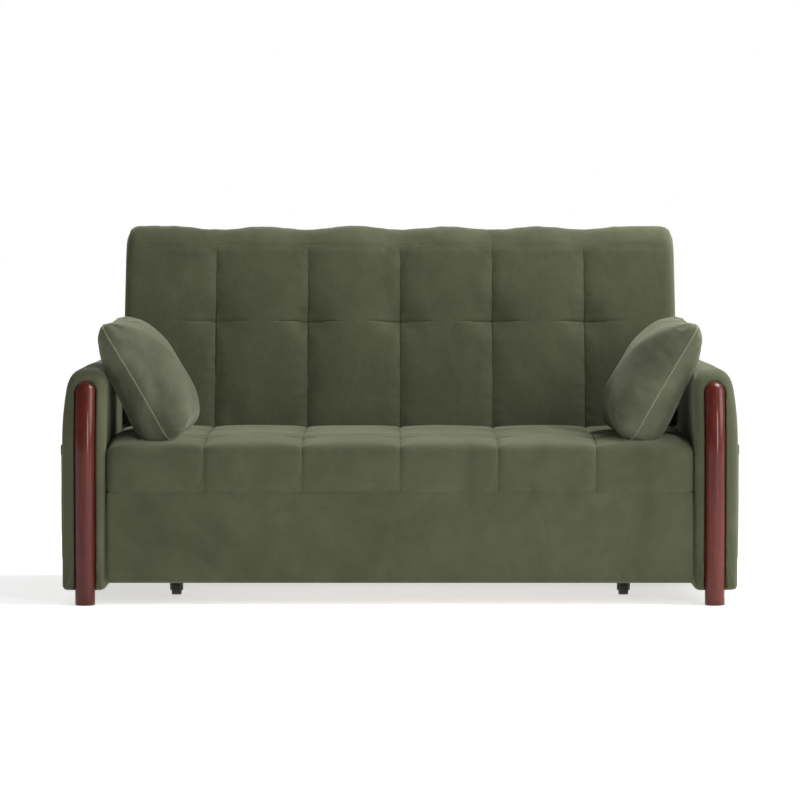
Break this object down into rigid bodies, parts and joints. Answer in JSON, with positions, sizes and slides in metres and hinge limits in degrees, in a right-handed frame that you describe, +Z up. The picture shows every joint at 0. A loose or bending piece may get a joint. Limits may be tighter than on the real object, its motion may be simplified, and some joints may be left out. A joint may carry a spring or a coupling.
{
  "type": "pull-out futon sofa bed",
  "caption": "Velvet sofa bed with wooden arm posts, side pockets and loose pillows; the seat rolls forward on wheels and the backrest reclines flat beside it.",
  "frame": {"origin": "middle of the footprint, on the floor", "axes": "+Z up, -Y towards the front that a sitter faces, +X to the viewer's right when facing the sofa"},
  "size_m": [1.68, 0.83, 0.9285],
  "materials": {
    "velvet": "olive green short-pile velvet",
    "plywood": "raw plywood",
    "post_wood": "mahogany stain under satin varnish",
    "pine": "planed, unfinished",
    "black_plastic": "moulded, fine texture",
    "black_steel": "black powder coat",
    "zinc": "zinc plated"
  },
  "bodies": {
    "arm_base": {"arm_cover_r": "velvet", "arm_cover_l": "velvet", "arm_panel_r": "plywood", "arm_panel_l": "plywood", "arm_base_board_r": "plywood", "arm_base_board_l": "plywood", "arm_post_r": "post_wood", "arm_post_l": "post_wood", "side_pocket_r": "velvet", "side_pocket_l": "velvet", "rear_foot_r": "black_plastic", "rear_foot_l": "black_plastic", "guide_rail_r": "black_steel", "guide_rail_l": "black_steel", "rail_bolt_1_r": "zinc", "rail_bolt_1_l": "zinc", "rail_bolt_2_r": "zinc", "rail_bolt_2_l": "zinc", "rear_beam": "black_steel", "rear_panel": "velvet"},
    "seat_unit": {"seat_cushion": "velvet", "front_panel_cover": "velvet", "front_panel_board": "plywood", "seat_side_tube_r": "black_steel", "seat_side_tube_l": "black_steel", "seat_front_tube": "black_steel", "seat_middle_tube": "black_steel", "seat_rear_tube": "black_steel", "seat_slat_1": "pine", "seat_slat_2": "pine", "seat_slat_3": "pine", "seat_slat_4": "pine", "seat_slat_5": "pine", "wheel_leg_r": "black_steel", "wheel_leg_l": "black_steel", "wheel_axle_r": "zinc", "wheel_axle_l": "zinc", "roller_axle_r": "zinc", "roller_axle_l": "zinc", "hinge_lower_leaf_r": "zinc", "hinge_lower_leaf_l": "zinc", "hinge_pin_r": "zinc", "hinge_pin_l": "zinc"},
    "backrest": {"back_cushion": "velvet", "back_rear_panel": "velvet", "back_stile_r": "black_steel", "back_stile_l": "black_steel", "back_lower_tube": "black_steel", "back_upper_tube": "black_steel", "back_slat_1": "pine", "back_slat_2": "pine", "back_slat_3": "pine", "hinge_upper_leaf_r": "zinc", "hinge_upper_leaf_l": "zinc"},
    "wheel_right": {"front_wheel_r": "black_plastic"},
    "wheel_left": {"front_wheel_l": "black_plastic"},
    "roller_right": {"guide_roller_r": "black_plastic"},
    "roller_left": {"guide_roller_l": "black_plastic"},
    "loose_pillow_right": {"pillow_r": "velvet"},
    "loose_pillow_left": {"pillow_l": "velvet"}
  },
  "joints": [
    {"name": "seat_pull_out", "type": "slide", "parent": "arm_base", "child": "seat_unit", "axis": [0, -1, 0], "range_m": [0, 0.45]},
    {"name": "backrest_recline", "type": "hinge", "parent": "seat_unit", "child": "backrest", "pos_m": [0, 0.23297, 0.325], "axis": [-1, 0, 0], "range_deg": [0, 80]},
    {"name": "front_wheel_right_spin", "type": "hinge", "parent": "seat_unit", "child": "wheel_right", "pos_m": [0.563, -0.135, 0.025], "axis": [1, 0, 0], "range_deg": [0, 1035]},
    {"name": "front_wheel_left_spin", "type": "hinge", "parent": "seat_unit", "child": "wheel_left", "pos_m": [-0.563, -0.135, 0.025], "axis": [1, 0, 0], "range_deg": [0, 1035]},
    {"name": "guide_roller_right_spin", "type": "hinge", "parent": "seat_unit", "child": "roller_right", "pos_m": [0.7055, 0.213, 0.246], "axis": [1, 0, 0], "range_deg": [0, 1520]},
    {"name": "guide_roller_left_spin", "type": "hinge", "parent": "seat_unit", "child": "roller_left", "pos_m": [-0.7055, 0.213, 0.246], "axis": [1, 0, 0], "range_deg": [0, 1520]},
    {"name": "pillow_right_lift", "type": "slide", "parent": "seat_unit", "child": "loose_pillow_right", "axis": [0, 0, 1], "range_m": [0, 0.4]},
    {"name": "pillow_left_lift", "type": "slide", "parent": "seat_unit", "child": "loose_pillow_left", "axis": [0, 0, 1], "range_m": [0, 0.4]}
  ],
  "couplings": [
    {"joint": "front_wheel_right_spin", "follows": "seat_pull_out", "rad_per_m": 40},
    {"joint": "front_wheel_left_spin", "follows": "seat_pull_out", "rad_per_m": 40},
    {"joint": "guide_roller_right_spin", "follows": "seat_pull_out", "rad_per_m": 58.824},
    {"joint": "guide_roller_left_spin", "follows": "seat_pull_out", "rad_per_m": 58.824}
  ]
}
